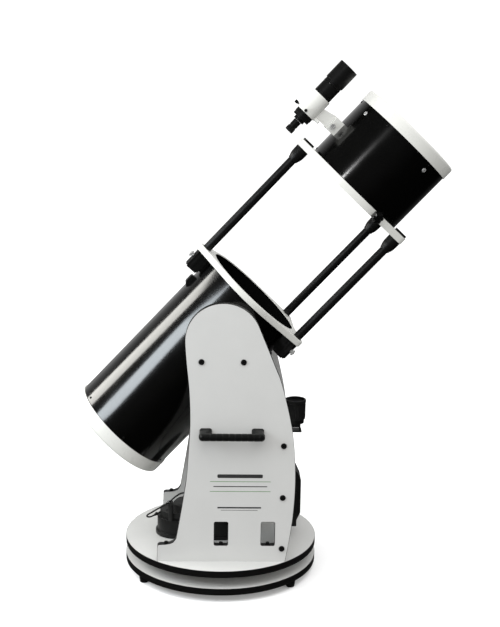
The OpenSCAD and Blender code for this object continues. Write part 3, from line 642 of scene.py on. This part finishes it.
def make_cable_fittings():
    """The gland where the cable leaves the drive, the plug along the cable and the upper gland."""
    path = smooth_route(CABLE_ROUTE, 6)
    mesh = bmesh.new()
    for radius, start in ((4.6, 12), (4.6, 13), (4.0, 14), (3.4, 16)):
        here = path[start]
        ahead = path[start + 2]
        turn = (ahead - here).to_track_quat("Z", "Y").to_matrix().to_4x4()
        reach = (ahead - here).length / MM
        turned(mesh, Matrix.Translation(here) @ turn,
               [(radius * 0.8, 0), (radius, reach * 0.2), (radius, reach * 0.7),
                (radius * 0.8, reach * 0.9)], 20)
    piece("cable_gland", mesh, "rocker", "rubber")
    mesh = bmesh.new()
    here = path[66]
    ahead = path[72]
    turn = (ahead - here).to_track_quat("Z", "Y").to_matrix().to_4x4()
    reach = (ahead - here).length / MM
    turned(mesh, Matrix.Translation(here) @ turn,
           [(2.3, -1), (3.6, -0.6), (4.6, 1.5), (4.9, 4), (4.9, reach - 3), (4.2, reach - 1),
            (2.5, reach)], 24)
    piece("cable_plug", mesh, "rocker", "rubber", finish=FINISH["gloss_plastic"])
    mesh = bmesh.new()
    here = path[-1]
    back = path[-9]
    turn = (back - here).to_track_quat("Z", "Y").to_matrix().to_4x4()
    rows = [(5.2, -3)]
    for k in range(5):
        rows += [(5.0 - 0.45 * k, 4 * k), (5.0 - 0.45 * k, 4 * k + 2.4), (4.2 - 0.4 * k, 4 * k + 2.8),
                 (4.2 - 0.4 * k, 4 * k + 3.8)]
    turned(mesh, Matrix.Translation(here) @ turn, rows, 20)
    piece("cable_upper_gland", mesh, "rocker", "rubber")


def make_cover_details():
    """Three round sockets with collars and the screws that hold the drive cover."""
    mesh = bmesh.new()
    for x in (-34, -16, 2):
        turned(mesh, shift(x, 26, 157.8), [(5.6, -0.5), (5.6, 1.2), (5.0, 1.9), (3.2, 1.9), (3.0, -0.3)],
               32)
    piece("drive_sockets", mesh, "rocker", "zinc", finish=FINISH["screw_steel"])
    mesh = bmesh.new()
    for x, y in ((-30, -34), (34, -20), (34, 20), (-150, 22), (-150, -16)):
        pan_screw(mesh, shift(x, y, 157.9), 3.0, 1.6)
    piece("drive_cover_screws", mesh, "rocker", "zinc", finish=FINISH["black_screw"])


def make_cell_springs():
    for tag, angle in zip("abc", (90, 210, 330)):
        centre = TUBE @ spin(angle) @ shift(108, 0, -407.6)
        turns = 3.2
        points = []
        for k in range(64):
            t = 2 * math.pi * turns * k / 63
            points.append(centre @ (Vector((5.4 * math.cos(t), 5.4 * math.sin(t), 9 * k / 63)) * MM))
        spring = cord_curve("cell_spring_" + tag, points, 0.7 * MM, FINISH["screw_steel"])
        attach(spring, "optical_tube")


def make_panel_graphics():
    """Two thin rules and two plain bars stand where the maker's words would be."""
    face = shift(0, -PANEL_HALF, 0) @ tilt(90, "X")
    for name, finish, bars in (
            ("panel_rules", "print_green", ((48, 311, 158, 1.6), (48, 284, 158, 1.6))),
            ("panel_bars", "print_black", ((47, 326, 118, 10), (48, 297.5, 140, 2.4),
                                           (46, 239, 114, 4), (46, 232, 96, 1.2)))):
        mesh = bmesh.new()
        for x, z, width, height in bars:
            corner = height * 0.3
            skin(mesh, face @ shift(x, z, 0), [rounded(width, height, corner, -0.05, 3),
                                               rounded(width, height, corner, 0.12, 3)])
        piece(name, mesh, "rocker", "white_laminate", finish=FINISH[finish])


FINISH["screw_steel"] = material("screw_steel", (0.7, 0.7, 0.69), 0.28, metal=0.65, tone=0.1,
                                 grain=1500, bump=0.08, rough_spread=0.08)
FINISH["black_screw"] = material("black_screw", (0.008, 0.008, 0.008), 0.32, metal=0.6, tone=0.15,
                                 grain=1500, bump=0.08)
FINISH["gloss_plastic"] = material("gloss_plastic", (0.003, 0.003, 0.003), 0.2, tone=0.1,
                                   grain=900, bump=0.04, coat=0.3, edge=0.2)
FINISH["ribbed_rubber"] = material("ribbed_rubber", (0.005, 0.005, 0.005), 0.5, tone=0.15,
                                   grain=1600, bump=0.15, specular=0.4)
FINISH["coated_glass"] = material("coated_glass", (0.006, 0.01, 0.02), 0.03, tone=0.05,
                                  grain=300, bump=0.003, coat=1.0, rough_spread=0.01)
FINISH["print_green"] = material("print_green", (0.13, 0.24, 0.11), 0.4, tone=0.05, bump=0.03)
FINISH["print_black"] = material("print_black", (0.03, 0.03, 0.03), 0.4, tone=0.08, bump=0.03)

for node_name, size in SOFTENED.items():
    refined(node_name, size)
make_panel_bolts()
make_cage_screws()
make_ring_knob()
make_clamp_screws()
make_finder_screws()
make_handles()
make_spare_eyepiece()
make_finder_details()
make_focuser_details()
make_handset()
make_cable_fittings()
make_cover_details()
make_cell_springs()
make_panel_graphics()


# ---------------------------------------------------------------- stage and light
def area_light(name, place, aim, size, power, colour=(1, 1, 1), glossy=True):
    data = bpy.data.lights.new(name, "AREA")
    data.shape = "RECTANGLE"
    data.size, data.size_y = size
    data.energy = power
    data.color = colour
    lamp = bpy.data.objects.new(name, data)
    bpy.context.scene.collection.objects.link(lamp)
    lamp.location = place
    lamp.rotation_mode = "QUATERNION"
    lamp.rotation_quaternion = (Vector(aim) - Vector(place)).to_track_quat("-Z", "Y")
    lamp.visible_glossy = glossy
    return lamp


def make_floor():
    half = 30.0
    mesh = bpy.data.meshes.new("floor")
    mesh.from_pydata([(-half, -half, 0), (half, -half, 0), (half, half, 0), (-half, half, 0)], [],
                     [(0, 1, 2, 3)])
    floor = bpy.data.objects.new("floor", mesh)
    bpy.context.scene.collection.objects.link(floor)
    mesh.materials.append(material("pale_floor", (0.9, 0.9, 0.9), 0.9, tone=0.01, bump=0.0,
                                   specular=0.0))
    floor.visible_glossy = False
    floor.visible_diffuse = False


def ramp(tree, value, low, high, dark, bright):
    """Maps a number from low..high to dark..bright."""
    made = node(tree, "ShaderNodeMapRange")
    for name, number in zip(("From Min", "From Max", "To Min", "To Max"), (low, high, dark, bright)):
        made.inputs[name].default_value = number
    link(tree, value, made.inputs["Value"])
    return made.outputs["Result"]


def choose(tree, factor, first, second):
    """first where factor is 0 and second where it is 1; a plain number may stand for either."""
    mix = node(tree, "ShaderNodeMix", data_type="FLOAT")
    link(tree, factor, mix.inputs["Factor"])
    for name, value in (("A", first), ("B", second)):
        if isinstance(value, float):
            mix.inputs[name].default_value = value
        else:
            link(tree, value, mix.inputs[name])
    return mix.outputs["Result"]


def make_world():
    """A white backdrop, soft light from above, and a dim room in front for the gloss to show."""
    world = bpy.data.worlds.new("studio")
    world.use_nodes = True
    tree = world.node_tree
    background = tree.nodes["Background"]
    background.inputs["Color"].default_value = (1, 1, 1, 1)
    path = node(tree, "ShaderNodeLightPath")
    direction = node(tree, "ShaderNodeSeparateXYZ")
    link(tree, node(tree, "ShaderNodeTexCoord").outputs["Generated"], direction.inputs[0])
    light = ramp(tree, direction.outputs["Z"], -0.35, 0.45, 0.5, 1.35)
    behind = ramp(tree, direction.outputs["Y"], 0.5, 1.0, 0.03, 0.5)
    above = ramp(tree, direction.outputs["Z"], -0.35, 0.05, 0.1, 1.0)
    gloss = node(tree, "ShaderNodeMath", operation="MULTIPLY")
    link(tree, behind, gloss.inputs[0])
    link(tree, above, gloss.inputs[1])
    shown = choose(tree, path.outputs["Is Glossy Ray"], light, gloss.outputs["Value"])
    shown = choose(tree, path.outputs["Is Camera Ray"], shown, 1.1)
    link(tree, shown, background.inputs["Strength"])
    bpy.context.scene.world = world


def make_lights():
    area_light("sky_panel", (0.1, -1.3, 3.2), (0, -0.1, 0), (3.0, 2.2), 42, glossy=False)
    area_light("small_spot", (-1.5, -2.6, 2.6), (0.4, 0, 1.0), (0.16, 0.16), 5)
    area_light("left_window", (-1.66, 0.35, 1.365), (-0.2, 0, 0.75), (0.72, 0.97), 17,
               (1, 0.99, 0.94))
    area_light("left_softbox", (-1.41, -0.88, 1.225), (-0.2, 0, 0.75), (0.6, 0.78), 14,
               (0.88, 0.95, 1.0))


make_floor()
make_world()
make_lights()
bpy.context.scene.view_settings.view_transform = "Standard"
